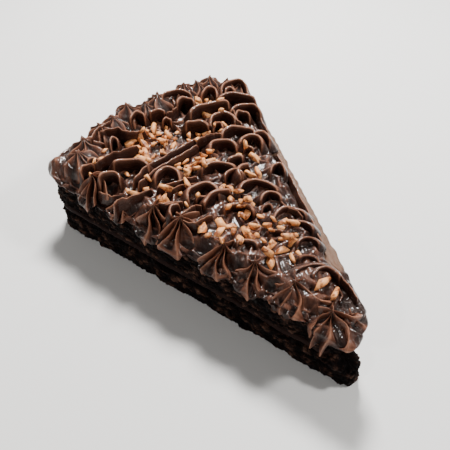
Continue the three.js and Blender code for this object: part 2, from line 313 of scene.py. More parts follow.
class FrostingSettings(bpy.types.PropertyGroup):
    """The piped chocolate frosting"""

    wall: FloatProperty(
        name="Wall", description="Thickness of a curl's crest, in millimetres",
        default=1.15, min=0.5, max=3.0)
    middle: FloatProperty(
        name="Middle", description="How much thicker the bed is inside its ledge, in millimetres",
        default=2.6, min=0.0, max=5.0)
    unevenness: FloatProperty(
        name="Unevenness", description="How far the piping wanders, in millimetres",
        default=0.55, min=0.0, max=2.0)
    # Valley, side, edge and crest run from painted shade deep between the ridges to a painted highlight
    # along the crests.
    valley: colour_property("Valley", "Colour deep between the ridges", "170A08")
    side: colour_property("Side", "Colour on the sides of the ridges", "351C15")
    edge: colour_property("Edge", "Colour just under the crests", "653D2C")
    crest: colour_property("Crest", "Colour along the thin crests", "96664E")
    smear: colour_property("Smear", "Colour where a knife spread the frosting thin", "6C5141")
    filling: colour_property("Filling", "Colour of the filling between the layers", "22120E")


class FlakeSettings(bpy.types.PropertyGroup):
    """The tan flakes scattered over the frosting"""

    length: FloatProperty(
        name="Length", description="Length of one of the longer flakes, in millimetres",
        default=5.2, min=2.0, max=10.0)
    thickness: FloatProperty(
        name="Thickness", description="Thickness of a flake, in millimetres",
        default=1.9, min=0.5, max=4.0)
    seed: IntProperty(
        name="Seed", description="Which scatter of flakes is made", default=7, min=0)
    pale: colour_property("Pale", "Colour of a flake's upper face", "EBA163")
    deep: colour_property("Deep", "Colour of a flake's edges and hollows", "82431F")


class StageSettings(bpy.types.PropertyGroup):
    """The floor, the lights and the camera"""

    lens: FloatProperty(
        name="Lens", description="Focal length of the camera, in millimetres",
        default=38.8, min=10.0, max=200.0)
    distance: FloatProperty(
        name="Distance", description="From the camera to the point it looks at",
        default=0.1887, min=0.05, max=2.0, subtype="DISTANCE", unit="LENGTH")
    elevation: FloatProperty(
        name="Elevation", description="How steeply the camera looks down",
        default=math.radians(48.06), subtype="ANGLE", unit="ROTATION")
    azimuth: FloatProperty(
        name="Azimuth", description="Direction in which the camera looks, from +X",
        default=math.radians(141.95), subtype="ANGLE", unit="ROTATION")
    key: FloatProperty(
        name="Key light", description="Power of the large soft light, in watts",
        default=7.6, min=0.0, max=100.0)
    sky: FloatProperty(
        name="Sky", description="Brightness of the room around the slice",
        default=0.15, min=0.0, max=5.0)
    floor: colour_property("Floor", "Colour of the plain floor", "EDEBE7")


# ---- helpers ------------------------------------------------------------------------------------


def mix(a, b, share):
    return a + (b - a) * share


def clamp(value):
    return min(1.0, max(0.0, value))


def smooth(value):
    value = clamp(value)
    return value * value * (3 - 2 * value)


def spot(back, side):
    """A place on the slice, seen from above."""
    return Vector((TIP_X - back, MIDDLE_Y + side))


def from_edges(point):
    """How far a point lies inside the far cut side, the near cut side and the rim."""
    away = Vector((point.x, point.y)) - APEX
    away.rotate(Matrix.Rotation(-TURN, 2))
    ahead = -away.x * math.sin(HALF_ANGLE)
    across = away.y * math.cos(HALF_ANGLE)
    return ahead - across, ahead + across, CAKE_RADIUS - away.length


def to_edge(point, angle):
    """How far it is from a point to the edge of the slice in the given direction."""
    outward = Vector((point.x, point.y)) - APEX
    facings = (
        math.pi / 2 - HALF_ANGLE + TURN, HALF_ANGLE - math.pi / 2 + TURN,
        math.atan2(outward.y, outward.x))
    reaches = [CAKE_RADIUS]
    for inside, facing in zip(from_edges(point), facings):
        if math.cos(angle - facing) > 0.2:
            reaches.append(inside / math.cos(angle - facing))
    return min(reaches)


def settle_into(bm, low, high, margin):
    """Eases whatever comes near the outer box of the slice back inside it."""
    for vert in bm.verts:
        for axis in range(3):
            for bound, sign in ((low[axis] + margin, -1), (high[axis] - margin, 1)):
                over = sign * (vert.co[axis] - (bound - sign * margin))
                if over > 0 and not (axis == 2 and sign < 0):
                    vert.co[axis] = bound - sign * margin * math.exp(-over / margin)


def face_outwards(bm):
    """Turns the faces of one closed shell outwards, judged at its highest corner."""
    bmesh.ops.recalc_face_normals(bm, faces=bm.faces)
    bm.normal_update()
    top = max(bm.verts, key=lambda vert: vert.co.z)
    if sum(face.normal.z for face in top.link_faces) < 0:
        bmesh.ops.reverse_faces(bm, faces=bm.faces)


def finish_piece(name, bm, material, levels=0):
    """Turns a bmesh in millimetres into a piece in metres that rides with the slice."""
    settle_into(bm, CAD_BOX[0] / MM, CAD_BOX[1] / MM, 0.5)
    bmesh.ops.scale(bm, vec=(MM, MM, MM), verts=bm.verts)
    mesh = bpy.data.meshes.new(name)
    bm.to_mesh(mesh)
    bm.free()
    mesh.shade_smooth()
    mesh.materials.append(material)
    piece = bpy.data.objects.new(name, mesh)
    bpy.context.scene.collection.objects.link(piece)
    if levels:
        rounding = piece.modifiers.new("rounding", "SUBSURF")
        rounding.levels = levels
        rounding.render_levels = levels
    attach(piece, "root")
    return piece


def join(bm, part):
    """Adds one closed shell to a bmesh and frees it."""
    face_outwards(part)
    mesh = bpy.data.meshes.new("part")
    part.to_mesh(mesh)
    part.free()
    bm.from_mesh(mesh)
    bpy.data.meshes.remove(mesh)


def new_ring(bm, edges):
    """Extrudes a closed ring of edges and returns the new ring's vertices and edges."""
    made = bmesh.ops.extrude_edge_only(bm, edges=edges)["geom"]
    verts = [item for item in made if isinstance(item, bmesh.types.BMVert)]
    fresh = set(verts)
    ring = [
        item for item in made
        if isinstance(item, bmesh.types.BMEdge) and fresh.issuperset(item.verts)]
    return verts, ring


def close_ring(bm, verts):
    """Closes the open ring that these vertices make."""
    edges = {edge for vert in verts for edge in vert.link_edges if edge.is_boundary}
    bmesh.ops.holes_fill(bm, edges=list(edges), sides=0)


def set_up(tree, node, settings=None, links=None):
    """Sets a shader node's values and links its inputs. Inputs that share their name with
    others go by number: on a Math node 0 to 2, and on a Mix node 0 for the share, 2 and 3 for
    two numbers, and 6 and 7 for two colours."""
    for key, value in (settings or {}).items():
        if isinstance(key, str) and hasattr(node, key):
            setattr(node, key, value)
        else:
            node.inputs[key].default_value = value
    for key, source in (links or {}).items():
        tree.links.new(source, node.inputs[key])
    return node


def add_node(tree, kind, settings=None, links=None):
    """Adds a shader node with its settings and links."""
    return set_up(tree, tree.nodes.new(kind), settings, links)


def ramp(tree, source, stops):
    """A colour ramp with its stops at the given shares."""
    node = add_node(tree, "ShaderNodeValToRGB", links={"Fac": source})
    elements = node.color_ramp.elements
    for element, (share, colour) in zip(elements, (stops[0], stops[-1])):
        element.position = share
        element.color = (*colour, 1)
    for share, colour in stops[1:-1]:
        elements.new(share).color = (*colour, 1)
    return node.outputs["Color"]


def new_material(name):
    """A new material with its node tree, its shader and the Object coordinates."""
    material = bpy.data.materials.new(name)
    material.use_nodes = True
    tree = material.node_tree
    shader = tree.nodes["Principled BSDF"]
    place = add_node(tree, "ShaderNodeTexCoord")
    return material, tree, shader, place.outputs["Object"]


def per_mm(size):
    """The scale that makes a pattern's features this many millimetres wide."""
    return 1 / (size * MM)


# ---- materials ----------------------------------------------------------------------------------


def baked_crumb(settings):
    """Moist chocolate cake, torn by the knife. Its pores and cracks are painted darker, as
    painted shade, and the knobs that stand out paler, as painted light; fat and sugar leave
    small wet glints. So broken a surface mirrors little of the room, which its low IOR stands for."""
    material, tree, shader, place = new_material("baked chocolate crumb")
    flat = add_node(
        tree, "ShaderNodeMapping", {"Scale": (1.0, 1.0, 1.5)}, {"Vector": place}).outputs[0]
    clumps = add_node(
        tree, "ShaderNodeTexNoise",
        {"Scale": per_mm(3.2), "Detail": 6.0, "Roughness": 0.62}, {"Vector": flat})
    pores = add_node(
        tree, "ShaderNodeTexVoronoi", {"Scale": per_mm(settings.grain)}, {"Vector": flat})
    grit = add_node(
        tree, "ShaderNodeTexNoise",
        {"Scale": per_mm(0.5), "Detail": 3.0, "Roughness": 0.7}, {"Vector": place})
    height = add_node(tree, "ShaderNodeAttribute", {"attribute_name": "relief"})
    shade = None
    for source, share in ((clumps, 0.25), (grit, 0.25), (height, 0.5)):
        links = {0: source.outputs["Fac"]}
        if shade is not None:
            links[2] = shade
        shade = add_node(
            tree, "ShaderNodeMath", {"operation": "MULTIPLY_ADD", 1: share, 2: 0.0},
            links).outputs[0]
    # Half of the mix is the crumb's relief: painted shade low in the cracks and pores, painted light
    # high on the knobs.
    colour = ramp(
        tree, shade, ((0.36, settings.pore_shade), (0.47, settings.body), (0.64, settings.lit_knob)))
    wet = add_node(
        tree, "ShaderNodeMapRange",
        {"From Min": 0.3, "From Max": 0.45, "To Min": 0.5, "To Max": 1.0},
        {"Value": clumps.outputs["Fac"]})
    coarse = add_node(
        tree, "ShaderNodeBump", {"Strength": 1.0, "Distance": 0.8 * MM, "invert": True},
        {"Height": pores.outputs["Distance"]})
    fine = add_node(
        tree, "ShaderNodeBump", {"Strength": 1.0, "Distance": 0.4 * MM},
        {"Height": grit.outputs["Fac"], "Normal": coarse.outputs[0]})
    set_up(
        tree, shader, {"IOR": 1.22},
        {"Base Color": colour, "Roughness": wet.outputs[0], "Normal": fine.outputs[0]})
    return material


def chocolate_filling(settings):
    """A smooth spread of chocolate cream, squeezed between the layers: dark, even and
    nearly matt."""
    material, tree, shader, place = new_material("spread chocolate filling")
    swell = add_node(
        tree, "ShaderNodeTexNoise", {"Scale": per_mm(4.0), "Detail": 4.0}, {"Vector": place})
    colour = ramp(tree, swell.outputs["Fac"], (
        (0.35, tuple(0.6 * c for c in settings.filling)), (0.7, settings.filling)))
    bump = add_node(
        tree, "ShaderNodeBump", {"Strength": 0.6, "Distance": 0.3 * MM},
        {"Height": swell.outputs["Fac"]})
    set_up(
        tree, shader, {"Roughness": 0.75, "IOR": 1.2},
        {"Base Color": colour, "Normal": bump.outputs[0]})
    return material


def piped_frosting(settings):
    """Chocolate frosting pressed through a star nozzle: fat-rich, so it shines softly. Its
    crests are painted paler and warmer, as painted highlight, and its valleys darker, as
    painted shade; the nozzle's teeth and small air bubbles mark its sides. A wet film lies
    where the piping is level, with sharp glints, and runs off its steep sides. The ledge,
    which a knife spread thin, has no film."""
    material, tree, shader, place = new_material("piped chocolate frosting")
    crest, ledge, flow = (
        add_node(tree, "ShaderNodeAttribute", {"attribute_name": name})
        for name in ("crest", "ledge", "flow"))
    cloud = add_node(
        tree, "ShaderNodeTexNoise",
        {"Scale": per_mm(6.0), "Detail": 5.0, "Roughness": 0.6}, {"Vector": place})
    tone = add_node(
        tree, "ShaderNodeMath", {"operation": "MULTIPLY_ADD", 1: 0.28, 2: -0.14},
        {0: cloud.outputs["Fac"]})
    # The crest attribute paints highlight on the crests and shade deep in the valleys; the cloud adds a
    # random tone.
    level = add_node(
        tree, "ShaderNodeMath", {"operation": "ADD"},
        {0: tone.outputs[0], 1: crest.outputs["Fac"]})
    colour = ramp(tree, level.outputs[0], (
        (0.02, settings.valley), (0.42, settings.side), (0.80, settings.edge),
        (0.99, settings.crest)))
    spread = add_node(
        tree, "ShaderNodeMix", {"data_type": "RGBA", 7: (*settings.smear, 1)},
        {0: ledge.outputs["Fac"], 6: colour})

    film = add_node(
        tree, "ShaderNodeTexNoise",
        {"Scale": per_mm(2.2), "Detail": 3.0, "Roughness": 0.6}, {"Vector": place})
    gloss = add_node(
        tree, "ShaderNodeMapRange",
        {"From Min": 0.38, "From Max": 0.6, "To Min": 0.30, "To Max": 0.52},
        {"Value": film.outputs["Fac"]})
    slope = add_node(tree, "ShaderNodeSeparateXYZ", links={0: place.node.outputs["Normal"]})
    pooled = add_node(
        tree, "ShaderNodeMapRange",
        {"From Min": 0.05, "From Max": 0.6, "To Min": 0.0, "To Max": 0.75},
        {"Value": slope.outputs["Z"]})
    moist = add_node(
        tree, "ShaderNodeMix", {"data_type": "FLOAT", 3: 0.0},
        {0: ledge.outputs["Fac"], 2: pooled.outputs[0]})
    runny = add_node(
        tree, "ShaderNodeBump", {"Strength": 0.7, "Distance": 0.3 * MM},
        {"Height": film.outputs["Fac"]})

    combed = add_node(
        tree, "ShaderNodeMapping", {"Scale": (1.6, 0.22, 1.0)}, {"Vector": flow.outputs["Vector"]})
    drag = add_node(
        tree, "ShaderNodeTexNoise",
        {"Scale": 1.0, "Detail": 4.0, "Roughness": 0.6, "Distortion": 0.3},
        {"Vector": combed.outputs[0]})
    bubbles = add_node(
        tree, "ShaderNodeTexVoronoi", {"Scale": per_mm(1.7), "Randomness": 1.0}, {"Vector": place})
    pit = add_node(
        tree, "ShaderNodeMapRange",
        {"From Min": 0.06, "From Max": 0.16, "To Min": 0.0, "To Max": 1.0},
        {"Value": bubbles.outputs["Distance"]})
    rough = add_node(
        tree, "ShaderNodeBump", {"Strength": 0.8, "Distance": 0.5 * MM},
        {"Height": drag.outputs["Fac"]})
    pitted = add_node(
        tree, "ShaderNodeBump", {"Strength": 0.5, "Distance": 0.15 * MM},
        {"Height": pit.outputs[0], "Normal": rough.outputs[0]})
    set_up(
        tree, shader,
        {
            "IOR": 1.33, "Specular Tint": (1.0, 0.86, 0.76, 1.0), "Coat Roughness": 0.05,
            "Coat IOR": 1.36, "Subsurface Weight": 0.06, "Subsurface Radius": (1.0, 0.45, 0.3),
            "Subsurface Scale": 1.2 * MM},
        {
            "Base Color": spread.outputs[2], "Roughness": gloss.outputs[0],
            "Coat Weight": moist.outputs[0], "Coat Normal": runny.outputs[0],
            "Normal": pitted.outputs[0]})
    return material


def waxy_flake(settings):
    """Flakes of tan chocolate, chopped and tumbled: waxy, and mottled paler and darker in patches."""
    material, tree, shader, place = new_material("chopped tan chocolate")
    patch = add_node(
        tree, "ShaderNodeTexNoise",
        {"Scale": per_mm(2.4), "Detail": 4.0, "Roughness": 0.6}, {"Vector": place})
    grain = add_node(
        tree, "ShaderNodeTexNoise", {"Scale": per_mm(0.6), "Detail": 3.0}, {"Vector": place})
    colour = ramp(tree, patch.outputs["Fac"], ((0.38, settings.deep), (0.52, settings.pale)))
    bump = add_node(
        tree, "ShaderNodeBump", {"Strength": 0.5, "Distance": 0.25 * MM},
        {"Height": grain.outputs["Fac"]})
    set_up(
        tree, shader,
        {
            "Roughness": 0.45, "IOR": 1.45, "Subsurface Weight": 0.1,
            "Subsurface Radius": (1.0, 0.6, 0.35), "Subsurface Scale": 1.0 * MM},
        {"Base Color": colour, "Normal": bump.outputs[0]})
    return material


def matt_floor(settings):
    """A plain pale sheet of card: matt, with no pattern."""
    material, tree, shader, _ = new_material("pale matt card")
    set_up(tree, shader, {"Base Color": (*settings.floor, 1), "Roughness": 0.9})
    return material


# ---- crumb layers and filling -------------------------------------------------------------------


def cut_outline(node, height, spacing):
    """The closed outline of a CAD node at one height, cut into short edges. Each vertex keeps
    its place, as "home", and its outward direction, as "out", for the rings that are extruded
    from it."""
    bm = bmesh.new()
    bm.from_mesh(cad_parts[node].data)
    bmesh.ops.scale(bm, vec=(1 / MM, 1 / MM, 1 / MM), verts=bm.verts)
    bmesh.ops.remove_doubles(bm, verts=bm.verts, dist=0.001)
    bmesh.ops.bisect_plane(
        bm, geom=bm.verts[:] + bm.edges[:] + bm.faces[:], dist=0.0001,
        plane_co=(0, 0, height), plane_no=(0, 0, 1), clear_inner=True, clear_outer=True)
    bmesh.ops.remove_doubles(bm, verts=bm.verts, dist=0.01)
    by_cuts = {}
    for edge in bm.edges:
        by_cuts.setdefault(int(edge.calc_length() / spacing), []).append(edge)
    for cuts, edges in sorted(by_cuts.items()):
        if cuts > 0:
            bmesh.ops.subdivide_edges(bm, edges=edges, cuts=cuts)
    home = bm.verts.layers.float_vector.new("home")
    out = bm.verts.layers.float_vector.new("out")
    for vert in bm.verts:
        one, other = (edge.other_vert(vert).co for edge in vert.link_edges)
        direction = (other - one).cross(Vector((0, 0, 1))).normalized()
        if direction.xy.dot(vert.co.xy - INSIDE) < 0:
            direction.negate()
        vert[home] = vert.co
        vert[out] = direction
    return bm, home, out


def grow_layer(node, sections, spacing, outset=0.0):
    """Skins a layer: each section is an offset outwards, a share drawn in towards the wide
    part of the slice, and a height. The first and last rings are closed."""
    low, high = box_mm(node)
    bm, home, out = cut_outline(node, mix(low.z, high.z, 0.5), spacing)
    middle = Vector(((low.x + high.x) / 2 - CLOSES_RIMWARDS, 0.0, 0.0))
    edges = bm.edges[:]
    verts = bm.verts[:]
    for index, (offset, drawn, height) in enumerate(sections):
        if index > 0:
            verts, edges = new_ring(bm, edges)
        for vert in verts:
            point = vert[home] + vert[out] * (offset + outset)
            point = point.lerp(middle, drawn)
            vert.co = (point.x, point.y, height)
    bmesh.ops.holes_fill(bm, edges=[e for e in bm.edges if e.is_boundary], sides=0)
    return bm, out


def crumb_sections(low, high, spacing, edge):
    """Rings round a crumb layer: in under its foot, up its side and in over its top, with
    rounded edges."""
    bends = [step / 3 * math.pi / 2 for step in range(4)]
    sections = [(0.0, drawn, low) for drawn in (0.5, 0.14, 0.09, 0.05)]
    sections += [
        (-edge * (1 - math.sin(bend)), 0.0, low + edge * (1 - math.cos(bend))) for bend in bends]
    rise = high - low - 2 * edge
    steps = int(rise / spacing)
    sections += [(0.0, 0.0, low + edge + rise * step / steps) for step in range(1, steps + 1)]
    sections += [
        (-edge * (1 - math.cos(bend)), 0.0, high - edge * (1 - math.sin(bend)))
        for bend in bends[1:]]
    sections += [(-edge, 0.008 * step, high) for step in range(1, 14)]
    sections += [(-edge, 0.5, high)]
    return sections


def lumps(point, size, seed):
    """Rounded clumps: high in the middle of each, low in the cracks between them."""
    nearest, _ = noise.voronoi(point / size + Vector((seed, seed * 1.7, seed * 0.3)))
    return 1.0 - min(1.0, nearest[0] * 1.25)


def tear_crumb(bm, out, settings, high, seed):
    """Moves the side in and out the way a cake tears: clumps, crumbs, cracks and pores. The
    top rises and sinks with it, and the foot stays level."""
    relief = bm.verts.layers.float.new("relief")
    for vert in bm.verts:
        place = Vector((vert.co.x, vert.co.y, vert.co.z * 1.35))
        clump = lumps(place, settings.grain * 3.1, seed)
        crumb = lumps(place, settings.grain, seed + 5)
        grit = lumps(place, settings.grain * 0.45, seed + 9)
        bulge = noise.noise(place / 11.0 + Vector((seed, 0, 0)))
        crack = abs(noise.noise(Vector((place.x / 9.0, place.y / 9.0, place.z / 2.2 + seed))))
        height = 0.5 * clump + 0.32 * crumb + 0.18 * grit - 0.5 * (1 - smooth(crack / 0.09))
        # The height is kept to paint shade into the cracks and pores and light onto the knobs.
        vert[relief] = clamp(height)
        vert.co += vert[out] * (settings.relief * (1.6 * (height - 0.6) + 0.5 * bulge))
        if vert.co.z > high - CRUMB_EDGE:
            vert.co.z += settings.relief * 0.6 * (height - 0.5)


class BROWNIE_OT_crumb_layers(bpy.types.Operator):
    """Makes the lower and upper crumb layers"""

    bl_idname = "brownie.crumb_layers"
    bl_label = "Crumb layers"

    def execute(self, context):
        settings = context.scene.brownie_crumb
        material = baked_crumb(settings)
        layers = (
            ("crumb_lower", "brownie_lower", "lower_crumb", LOWER_LOW, LOWER_HIGH, 3, -0.45),
            ("crumb_upper", "brownie_upper", "upper_crumb", UPPER_LOW, UPPER_HIGH, 11, -0.2),
        )
        for name, node, slot, low, high, seed, outset in layers:
            sections = crumb_sections(low.z, high.z, settings.spacing, CRUMB_EDGE)
            bm, out = grow_layer(node, sections, settings.spacing, outset)
            tear_crumb(bm, out, settings, high.z, seed)
            face_outwards(bm)
            piece = finish_piece(name, bm, material)
            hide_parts(node)
        return {"FINISHED"}


class BROWNIE_OT_filling(bpy.types.Operator):
    """Makes the filling between the layers"""

    bl_idname = "brownie.filling"
    bl_label = "Filling"

    def execute(self, context):
        settings = context.scene.brownie_frosting
        low, high = FILLING_LOW.z - 0.25, FILLING_HIGH.z + 0.25
        sections = [(0.0, 0.5, low), (0.0, 0.05, low), (-0.3, 0.0, low)]
        sections += [
            (0.35 * math.sin(math.pi * step / 6), 0.0, mix(low, high, step / 6))
            for step in range(1, 6)
        ]
        sections += [(-0.3, 0.0, high), (0.0, 0.05, high), (0.0, 0.5, high)]
        bm, out = grow_layer("filling", sections, 0.8)
        for vert in bm.verts:
            swell = noise.noise(vert.co / 7.0) + 0.5 * noise.noise(vert.co / 2.4)
            vert.co += vert[out] * 0.5 * swell
        face_outwards(bm)
        piece = finish_piece("filling_cream", bm, chocolate_filling(settings))
        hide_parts("filling")
        return {"FINISHED"}


# ---- frosting -----------------------------------------------------------------------------------


# Which slump the piping gets. Vector noise that is given no seed takes one from the clock,
# and then the piping would come out a little different each time.
SLUMP_SEED = 1795345501


def wander(point, amount, seed):
    """Moves a point a little, the same way as its neighbours, as soft frosting slumps."""
    near = point / 9.0 + Vector((seed, 0.0, seed * 2.0))
    fine = point / 3.2 + Vector((0.0, seed, seed))
    return amount * (noise.noise_vector(near) + 0.35 * noise.noise_vector(fine))


def bed_level(point, middle):
    """How high the bed stands at a place: low along the near side and the tip, where the
    dabs sit on the crumb itself, and thicker in the middle."""
    far, near, rim = from_edges(point)
    inside = smooth((far - 3.6) / 1.6) * smooth((near - 3.0) / 4.0) * smooth((rim - 1.0) / 3.0)
    inside *= smooth((TIP_X - point.x - 8.0) / 22.0)
    return BED_TOP + inside * middle - 1.7 * smooth((8.0 - near) / 4.0)


def frosting_bed(settings):
    """The bed, spread over the top of the cake: a flat ledge along the far side, and a thicker
    middle with the folds, smears and lumps that a knife leaves. Along the near side, under
    the dabs, it is drawn in."""
    rings = 130
    sections = [(0.9, 0.4, BED_Z), (0.9, 0.08, BED_Z), (1.2, 0.0, BED_Z)]
    sections += [(1.7, 0.0, BED_Z + 0.5), (1.8, 0.0, BED_Z + 1.4), (1.5, 0.0, BED_TOP - 0.5)]
    sections += [(1.0, 0.0, BED_TOP)]
    sections += [
        (0.6, 0.985 * (step / rings) ** 1.2, BED_TOP) for step in range(1, rings + 1)]
    bm, out = grow_layer("brownie_upper", sections, 0.8)
    crest = bm.verts.layers.float.new("crest")
    ledge = bm.verts.layers.float.new("ledge")
    flow = bm.verts.layers.float_vector.new("flow")
    for vert in bm.verts:
        far, near, _ = from_edges(vert.co)
        back = TIP_X - vert.co.x
        vert[flow] = (far * 1.3, back, 0.0)
        smear = noise.noise(Vector((far / 1.3, back / 9.0, 3.0)))
        cells, _ = noise.voronoi(Vector((vert.co.x / 5.0, vert.co.y / 7.0, 0.0)))
        fold = math.exp(-((cells[1] - cells[0]) / 0.2) ** 2) * smooth((far - 5.0) / 2.0)
        lump = noise.noise(vert.co / 3.0)
        if vert.co.z > BED_TOP - 0.8:
            vert.co.z += bed_level(vert.co, settings.middle) + 1.3 * fold - BED_TOP
            vert.co.z += 0.35 * smear + mix(0.8, 0.35, smooth((near - 5.0) / 5.0)) * lump
            vert.co.z += smooth((30.0 - back) / 8.0) * noise.noise(vert.co / 2.6)
            vert[ledge] = smooth((5.2 - far) / 1.4) * smooth((back - 22.0) / 3.0)
        vert.co += vert[out] * (0.4 * lump - 2.2 * smooth(1.0 - near / 4.0))
        vert.co.x -= 0.8 * max(0.0, 8.0 - back)
        # Folds get more of the crest's colour, a painted highlight; the smear varies the tone at
        # random.
        vert[crest] = clamp(0.14 + 0.3 * smear + 0.5 * fold)
    face_outwards(bm)
    return bm


# The line of a star's ridge, from its peak to its foot: how far along it, how far out as a
# share of its reach, and how far down as a share of its drop. The dabs on the rim have
# fuller shoulders.
SIDE_LINE = (
    (0.00, 0.03, 0.00), (0.06, 0.07, 0.08), (0.14, 0.15, 0.14), (0.27, 0.33, 0.21),
    (0.40, 0.54, 0.30), (0.55, 0.75, 0.44), (0.70, 0.91, 0.62), (0.85, 0.99, 0.82),
    (1.00, 1.00, 1.00),
)
RIM_LINE = (
    (0.00, 0.03, 0.00), (0.06, 0.08, 0.07), (0.14, 0.18, 0.11), (0.27, 0.38, 0.14),
    (0.40, 0.60, 0.19), (0.55, 0.79, 0.30), (0.70, 0.92, 0.50), (0.85, 0.99, 0.76),
    (1.00, 1.00, 1.00),
)
# Across the valley from one ridge to the next: how far over, how deep as a share of the
# valley's depth, and how much of the crest's colour, a painted highlight on the ridge that
# fades to painted shade deep in the valley.
VALLEY_SECTION = (
    (0.00, 0.00, 1.00), (0.06, 0.10, 0.84), (0.16, 0.36, 0.60), (0.31, 0.74, 0.28),
    (0.50, 1.00, 0.00), (0.69, 0.74, 0.28), (0.84, 0.36, 0.60), (0.94, 0.10, 0.84),
)
DAB_RINGS = 26


def read_line(line, share):
    """How far out and how far down a line has got at a share of its length."""
    for start, end in zip(line, line[1:]):
        if share <= end[0]:
            part = (share - start[0]) / (end[0] - start[0])
            return mix(start[1], end[1], part), mix(start[2], end[2], part)
    return line[-1][1:]


def even_ridges(rng, reach, count, first, foot):
    """The ridges of a dab that the nozzle left whole, a little uneven."""
    return [
        (first + (k + rng.uniform(-0.18, 0.18)) * 360 / count, reach * rng.uniform(0.88, 1.04),
         foot + rng.uniform(0.0, 2.5), rng.choice((OPEN, OPEN, CUP)))
        for k in range(count)]


def winding(rng, ridges):
    """How the ridges of a dab wind: a rule that gives their directions, in radians, at a share
    of their reach, and then the first one's once more, a full turn on."""
    bend = [rng.uniform(0.1, 0.34) * rng.choice((-1, 1)) for _ in ridges]
    phase = [rng.uniform(0, 2 * math.pi) for _ in ridges]
    swirl = rng.uniform(-0.2, 0.25)

    def directions(out):
        turned = [
            math.radians(ridge[0]) + swirl * (out - 1.0) + b * math.sin(out * 4.2 + p)
            for ridge, b, p in zip(ridges, bend, phase)]
        return turned + [turned[0] + 2 * math.pi]
    return directions


def folded_over(sunk, crest, share):
    """The hem of a cup: its valley closes near the foot, with the crest's colour, a painted highlight,
    along it.
    """
    sunk *= 1.0 - math.exp(-((share - 0.8) / 0.14) ** 2)
    return sunk, max(crest, 0.9 * math.exp(-((share - 0.8) / 0.05) ** 2))


def off_the_crumb(centre, angle, reach, height, sunk):
    """How far out a dab's skin has to lie where it hangs over the side of the crumb."""
    inwards = mix(-0.9, 1.5 * smooth((BED_Z - 2.0 - height) / 4.0) - 0.4, sunk)
    clear = min(to_edge(centre, angle) - inwards, reach * 1.05)
    return clear * smooth((BED_Z + 2.0 - height) / 2.0)


def star_dab(bm, place, peak, ridges, line, depth, seed, lean=0.0):
    """One dab from the star nozzle: thin ridges run out from a pulled peak and down over the
    side, with deep valleys between them. It is skinned in rings, from its foot up."""
    rng = random.Random(seed)
    crest_light_layer = bm.verts.layers.float["crest"]
    flow_layer = bm.verts.layers.float_vector["flow"]
    turn_layer = bm.verts.layers.float["turn"]
    centre = place.to_3d()
    outwards = (place - APEX).normalized().to_3d()
    directions = winding(rng, ridges)
    tail = Vector((rng.uniform(-1, 1), rng.uniform(-1, 1), 0.0)).normalized()
    tail *= rng.uniform(0.3, 1.0)

    per_ridge = len(VALLEY_SECTION)
    segments = len(ridges) * per_ridge
    start = bmesh.ops.create_circle(bm, cap_ends=False, segments=segments, radius=1.0)["verts"]
    for vert in start:
        turn = math.atan2(vert.co.y, vert.co.x) / (2 * math.pi) * segments
        vert[turn_layer] = round(turn) % segments
    ring = start
    edges = list({edge for vert in ring for edge in vert.link_edges})
    for step in range(DAB_RINGS + 1):
        share = 1.0 - step / DAB_RINGS
        if step > 0:
            ring, edges = new_ring(bm, edges)
        out, down = read_line(line, share)
        turned = directions(out)
        valley = smooth(share / 0.3) * (1.0 - smooth((share - 0.6) / 0.4))
        for vert in ring:
            index = int(round(vert[turn_layer])) % segments
            k, place_in = divmod(index, per_ridge)
            over, sunk, crest = VALLEY_SECTION[place_in]
            _, reach, foot, ending = ridges[k]
            _, next_reach, next_foot, _ = ridges[(k + 1) % len(ridges)]
            reach = mix(reach, next_reach, over)
            foot = mix(foot, next_foot, over)
            angle = mix(turned[k], turned[k + 1], over)
            if ending == CUP:
                sunk, crest = folded_over(sunk, crest, share)
            height = mix(peak, foot, down) - depth * reach * sunk * valley
            height += 2.6 * sunk * smooth((share - 0.7) / 0.3) * smooth((BED_Z - foot) / 2.0)
            radius = max(
                reach * out * (1.0 - 0.8 * depth * sunk),
                off_the_crumb(centre, angle, reach, height, sunk))
            vert.co = centre + Vector((radius * math.cos(angle), radius * math.sin(angle), height))
            pull = clamp((height - BED_TOP) / (peak - BED_TOP))
            tip = clamp((pull - 0.82) / 0.18)
            vert.co += outwards * lean * pull * pull + tail * tip * tip
            # The pulled peak gets the crest's colour: a painted highlight.
            vert[crest_light_layer] = mix(crest, 0.9, smooth((0.12 - share) / 0.12))
            vert[flow_layer] = (index * 0.8 + seed * 7.0, share * 12.0, share)
    middle = sum((vert.co for vert in ring), Vector()) / len(ring)
    bmesh.ops.pointmerge(bm, verts=ring, merge_co=middle)
    close_ring(bm, start)


# A curl's wall in section, from its gently sloping outer foot over the crest to its steep
# inner foot: how far out, in thicknesses of the wall, how high, as a share of its rise, and
# how much of the crest's colour, a painted highlight at the crest, less down the outer slope
# and least down the inner wall, as painted shade.
WALL_SECTION = (
    (4.4, -0.12, 0.16), (3.5, 0.16, 0.24), (2.6, 0.44, 0.32), (1.8, 0.68, 0.40),
    (1.15, 0.84, 0.48), (0.65, 0.945, 0.72), (0.22, 1.0, 1.00), (-0.15, 0.985, 1.00),
    (-0.38, 0.90, 0.66), (-0.46, 0.74, 0.42), (-0.46, 0.50, 0.30), (-0.50, 0.28, 0.16),
    (-0.75, 0.08, 0.08), (-1.3, -0.12, 0.10),
)


